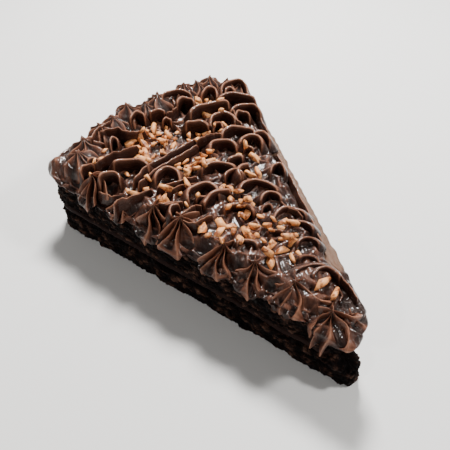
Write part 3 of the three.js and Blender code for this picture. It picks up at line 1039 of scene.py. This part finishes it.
def wall_along(bm, settings, path, rises, side, slope, seed):
    """A thin wall of frosting along a path: a section carried along it and closed at the ends."""
    crest_light_layer = bm.verts.layers.float["crest"]
    flow_layer = bm.verts.layers.float_vector["flow"]
    turn_layer = bm.verts.layers.float["turn"]
    count = len(WALL_SECTION)
    ring = bmesh.ops.create_circle(bm, cap_ends=False, segments=count, radius=1.0)["verts"]
    for index, vert in enumerate(ring):
        vert[turn_layer] = index
    edges = list({edge for vert in ring for edge in vert.link_edges})
    first = ring
    travelled = 0.0
    for index, (point, rise) in enumerate(zip(path, rises)):
        if index > 0:
            ring, edges = new_ring(bm, edges)
            travelled += (point - path[index - 1]).length
        ahead = path[min(len(path) - 1, index + 1)]
        out = (ahead - path[max(0, index - 1)]).normalized()
        out = Vector((out.y, -out.x)) * side
        size = settings.wall * mix(0.55, 1.0, clamp(rise / 5.0))
        foot = bed_level(point, settings.middle) - 0.6
        for vert in ring:
            step = int(round(vert[turn_layer]))
            offset, height, crest = WALL_SECTION[step]
            place = point + out * offset * size * (slope if offset > 0 else 1.0)
            vert.co = (place.x, place.y, foot + (rise + 0.6) * height)
            # A low wall gets less of the crest's painted highlight.
            vert[crest_light_layer] = crest * mix(0.4, 1.0, clamp(rise / 3.5))
            vert[flow_layer] = (step * 1.1 + seed * 5.0, travelled, height)
    for end in (first, ring):
        close_ring(bm, end)


def curl(bm, settings, spec, seed):
    """Frosting wound in on itself like a shell: a thin wall, high at the back of the turn and
    low towards the side on which the curl is open."""
    back, side, half, depth, opens, sweep, hand = spec
    centre = spot(back, side)
    behind = Matrix.Rotation(math.radians(opens + 180), 2)
    crest = mix(CREST_TIP, CREST_RIM, smooth(back / 130.0)) - 1.2 * smooth((3.5 - half) / 2.0)
    steps = max(16, int(sweep / 7))
    path, rises = [], []
    for step in range(steps + 1):
        share = step / steps
        turned = math.radians(sweep * share - min(sweep, 220) / 2)
        size = mix(1.0, 0.45, smooth((turned - 1.8) / 3.4))
        ripple = noise.noise(Vector((share * sweep / 60.0, seed * 1.3, 0.0)))
        local = Vector((depth * math.cos(turned), hand * half * math.sin(turned))) * size
        path.append(centre + behind @ (local * (1.0 + 0.12 * ripple)))
        facing = 0.5 + 0.5 * math.cos(turned)
        ends = smooth(share / 0.14) * smooth((1 - share) / 0.14)
        tall = crest - bed_level(path[-1], settings.middle)
        rises.append(tall * mix(0.25, 1.0, smooth(facing * 1.2)) * ends * (1.0 + 0.15 * ripple))
    room = clamp((min(from_edges(centre)) - half) / 6.0)
    slope = mix(0.25, 1.0, min(room, smooth((half - 0.5) / 5.0)))
    wall_along(bm, settings, path, rises, hand, slope, seed)


def dragged_ridge(bm, settings, points, crest, seed):
    """A long low wall dragged through the frosting."""
    corners = [spot(back, side) for back, side in points]
    steps = 14
    path, rises = [], []
    for leg, (start, end) in enumerate(zip(corners, corners[1:])):
        for step in range(steps + (leg == len(corners) - 2)):
            share = (leg + step / steps) / (len(corners) - 1)
            point = start.lerp(end, step / steps)
            sway = noise.noise(Vector((point.x / 6.0, point.y / 6.0, seed)))
            path.append(point + Vector((0.4, 0.4)) * sway)
            swell = 1.0 + 0.12 * noise.noise(Vector((share * 9.0, seed, 0.0)))
            tall = crest - bed_level(path[-1], settings.middle)
            rises.append(tall * swell * smooth(share / 0.08) * smooth((1 - share) / 0.08))
    wall_along(bm, settings, path, rises, 1, 0.3, seed)


def frosting_mesh():
    """An empty bmesh whose vertices hold the share of the crest's colour (painted highlight on the
    crests, painted shade in the hollows), the place in a ring and the way the frosting was dragged."""
    bm = bmesh.new()
    bm.verts.layers.float.new("crest")
    bm.verts.layers.float.new("turn")
    bm.verts.layers.float_vector.new("flow")
    return bm


def pipe(shapes, unevenness, seed):
    """Makes each shape as a closed shell of its own, and lets them all slump a little."""
    noise.seed_set(SLUMP_SEED)
    bm = frosting_mesh()
    for make, *details in shapes:
        part = frosting_mesh()
        make(part, *details)
        join(bm, part)
    for vert in bm.verts:
        vert.co += wander(vert.co, unevenness, seed)
    return bm


class BROWNIE_OT_frosting(bpy.types.Operator):
    """Makes the frosting: its bed, the star dabs, the curls and the dragged ridges"""

    bl_idname = "brownie.frosting"
    bl_label = "Frosting"

    def execute(self, context):
        settings = context.scene.brownie_frosting
        material = piped_frosting(settings)
        pieces = [finish_piece("frosting_bed", frosting_bed(settings), material)]
        rng = random.Random(3)
        rim = [(*star[:3], even_ridges(rng, *star[3:])) for star in RIM_STARS]
        pressed = [(*star[:3], even_ridges(rng, *star[3:])) for star in PRESSED]
        groups = (
            ("frosting_side_stars", SIDE_STARS, SIDE_LINE, 0.55, 0.0),
            ("frosting_rim_stars", rim, RIM_LINE, 0.15, RIM_LEAN),
            ("frosting_pressed_dabs", pressed, SIDE_LINE, 0.34, 0.0),
        )
        for group, (name, stars, line, depth, lean) in enumerate(groups):
            dabs = [
                (star_dab, spot(back, side), peak, ridges, line, depth, 100 * group + index, lean)
                for index, (back, side, peak, ridges) in enumerate(stars)]
            bm = pipe(dabs, settings.unevenness, group + 1)
            pieces.append(finish_piece(name, bm, material, levels=1))
        walls = [(curl, settings, spec, 500 + index) for index, spec in enumerate(CURLS)]
        walls += [
            (dragged_ridge, settings, points, crest, index)
            for index, (points, crest) in enumerate(RIDGES)]
        bm = pipe(walls, settings.unevenness, 9)
        pieces.append(finish_piece("frosting_curls", bm, material))
        for piece in pieces:
            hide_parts("frosting")
        return {"FINISHED"}


# ---- flakes -------------------------------------------------------------------------------------


# How many flat cuts chop a flake, and how often a place with room is looked for.
FLAKE_CUTS = 6
FLAKE_TRIES = 12
# In millimetres: how far apart flakes lie where there is room, within what distance a flake
# lies on top of another, and from how high a flake falls.
FLAKES_APART = 3.3
FLAKES_STACK = 2.6
FLAKES_FALL_FROM = 80.0


def drop(surfaces, x, y):
    """The highest point of the frosting at a place, in millimetres, and its normal."""
    best = None
    for surface in surfaces:
        found, point, normal, _ = surface.ray_cast(
            Vector((x, y, FLAKES_FALL_FROM)) * MM, Vector((0, 0, -1)))
        if found and (best is None or point.z > best[0].z):
            best = (point, normal)
    if best is None:
        raise RuntimeError(f"no frosting under the flake at {x:.1f}, {y:.1f}")
    return best[0] / MM, best[1]


def add_flake(bm, rng, settings, place, normal, heading):
    """One chopped flake: a sliver with flat cuts on all sides, its edges softened."""
    size = rng.uniform(0.0, 1.0)
    length = settings.length * mix(0.5, 1.35, size ** 1.5)
    width = length * mix(0.62, 0.40, size) * rng.uniform(0.70, 1.10)
    thickness = settings.thickness * mix(0.7, 1.2, size)
    part = bmesh.new()
    bmesh.ops.create_cube(part, size=1.0)
    for cut in range(FLAKE_CUTS):
        turn = (cut + rng.uniform(-0.4, 0.4)) / FLAKE_CUTS * 2 * math.pi
        direction = Vector((math.cos(turn), math.sin(turn), rng.uniform(-0.7, 0.7))).normalized()
        bmesh.ops.bisect_plane(
            part, geom=part.verts[:] + part.edges[:] + part.faces[:], dist=0.0001,
            plane_co=direction * rng.uniform(0.28, 0.46), plane_no=direction, clear_outer=True)
        bmesh.ops.holes_fill(part, edges=[e for e in part.edges if e.is_boundary], sides=0)
    bmesh.ops.remove_doubles(part, verts=part.verts, dist=0.04)
    bmesh.ops.scale(part, vec=(length, width, thickness), verts=part.verts)
    bmesh.ops.bevel(
        part, geom=part.edges[:], offset=0.24, segments=2, affect="EDGES", clamp_overlap=True)
    upright = Vector((0, 0, 1)).lerp(normal, 0.6).normalized()
    tilt = Vector((0, 0, 1)).rotation_difference(upright).to_matrix().to_4x4()
    roll = Matrix.Rotation(rng.gauss(0, 0.4), 4, "X") @ Matrix.Rotation(rng.gauss(0, 0.22), 4, "Y")
    part.transform(Matrix.Translation(place) @ tilt @ Matrix.Rotation(heading, 4, "Z") @ roll)
    join(bm, part)


class BROWNIE_OT_flakes(bpy.types.Operator):
    """Scatters the tan flakes in clusters over the frosting"""

    bl_idname = "brownie.flakes"
    bl_label = "Flakes"

    def execute(self, context):
        settings = context.scene.brownie_flakes
        rng = random.Random(settings.seed)
        depsgraph = context.evaluated_depsgraph_get()
        surfaces = [
            bpy.data.objects[name].evaluated_get(depsgraph) for name in (
                "frosting_bed", "frosting_side_stars", "frosting_rim_stars",
                "frosting_pressed_dabs", "frosting_curls")]
        bm = bmesh.new()
        placed = []
        for back, side, spread_x, spread_y, count, heading in FLAKE_CLUSTERS:
            middle = spot(back, side)
            for flake in range(count):
                for attempt in range(FLAKE_TRIES):
                    x = middle.x + rng.uniform(-1.2, 1.2) * spread_x
                    y = middle.y + rng.uniform(-1.2, 1.2) * spread_y
                    if all((other - Vector((x, y))).length > FLAKES_APART for other in placed):
                        break
                point, normal = drop(surfaces, x, y)
                under = sum((other - point.xy).length < FLAKES_STACK for other in placed)
                point.z += 0.3 * settings.thickness + 0.9 * min(under, 2)
                angle = math.radians(heading) + rng.gauss(0, 0.7)
                add_flake(bm, rng, settings, point, normal, angle)
                placed.append(point.xy)
        finish_piece("flakes", bm, waxy_flake(settings))
        return {"FINISHED"}


# ---- stage --------------------------------------------------------------------------------------


class BROWNIE_OT_stage(bpy.types.Operator):
    """Lays the floor and sets the lights and the camera"""

    bl_idname = "brownie.stage"
    bl_label = "Stage"

    def execute(self, context):
        settings = context.scene.brownie_stage
        bm = bmesh.new()
        bmesh.ops.create_grid(bm, x_segments=1, y_segments=1, size=1.5)
        mesh = bpy.data.meshes.new("floor")
        bm.to_mesh(mesh)
        bm.free()
        mesh.materials.append(matt_floor(settings))
        floor = bpy.data.objects.new("floor", mesh)
        context.scene.collection.objects.link(floor)

        # The camera looks at the middle of the slice, about half way up.
        target = Vector((TIP_X - 71.0, MIDDLE_Y - 3.1, 18.0)) * MM
        look = Vector((
            math.cos(settings.azimuth) * math.cos(settings.elevation),
            math.sin(settings.azimuth) * math.cos(settings.elevation),
            -math.sin(settings.elevation)))
        camera = bpy.data.objects.new("camera", bpy.data.cameras.new("camera"))
        camera.data.lens = settings.lens
        camera.data.clip_start = 0.01
        camera.location = target - look * settings.distance
        camera.rotation_euler = look.to_track_quat("-Z", "Y").to_euler()
        context.scene.collection.objects.link(camera)
        context.scene.camera = camera

        # Each lamp's power in watts, its place and its width in metres. The key lamp hangs
        # high beyond the rim, on the far side, so the crests shine and the near side lies in
        # soft shade.
        lamps = (
            ("key", settings.key, (-0.26, 0.20, 0.46), 0.12),
            ("side", settings.key * 0.35, (0.30, 0.34, 0.42), 0.07),
            ("front", settings.key * 0.08, (0.05, -0.40, 0.40), 0.03),
        )
        for name, power, place, size in lamps:
            lamp = bpy.data.objects.new(name, bpy.data.lights.new(name, "AREA"))
            lamp.data.energy = power
            lamp.data.size = size
            lamp.location = place
            lamp.rotation_euler = (-Vector(place)).to_track_quat("-Z", "Y").to_euler()
            context.scene.collection.objects.link(lamp)

        world = bpy.data.worlds.new("soft room")
        world.use_nodes = True
        sky = world.node_tree.nodes["Background"]
        sky.inputs["Color"].default_value = (1.0, 1.0, 1.0, 1.0)
        sky.inputs["Strength"].default_value = settings.sky
        context.scene.world = world
        return {"FINISHED"}


# ---- the add-on ---------------------------------------------------------------------------------


STEPS = (
    BROWNIE_OT_crumb_layers, BROWNIE_OT_filling, BROWNIE_OT_frosting, BROWNIE_OT_flakes,
    BROWNIE_OT_stage,
)


class BROWNIE_PT_panel(bpy.types.Panel):
    """Lists the steps that make the slice"""

    bl_idname = "BROWNIE_PT_panel"
    bl_label = "Frosted brownie slice"
    bl_space_type = "VIEW_3D"
    bl_region_type = "UI"
    bl_category = "Brownie"

    def draw(self, context):
        for step in STEPS:
            self.layout.operator(step.bl_idname)


SETTINGS = (
    ("brownie_crumb", CrumbSettings),
    ("brownie_frosting", FrostingSettings),
    ("brownie_flakes", FlakeSettings),
    ("brownie_stage", StageSettings),
)


def register():
    for name, group in SETTINGS:
        bpy.utils.register_class(group)
        setattr(bpy.types.Scene, name, PointerProperty(type=group))
    for cls in (*STEPS, BROWNIE_PT_panel):
        bpy.utils.register_class(cls)


def unregister():
    for cls in reversed((*STEPS, BROWNIE_PT_panel)):
        bpy.utils.unregister_class(cls)
    for name, group in reversed(SETTINGS):
        delattr(bpy.types.Scene, name)
        bpy.utils.unregister_class(group)


def main():
    register()
    bpy.ops.brownie.crumb_layers()
    bpy.ops.brownie.filling()
    bpy.ops.brownie.frosting()
    bpy.ops.brownie.flakes()
    bpy.ops.brownie.stage()


if __name__ == "__main__":
    main()
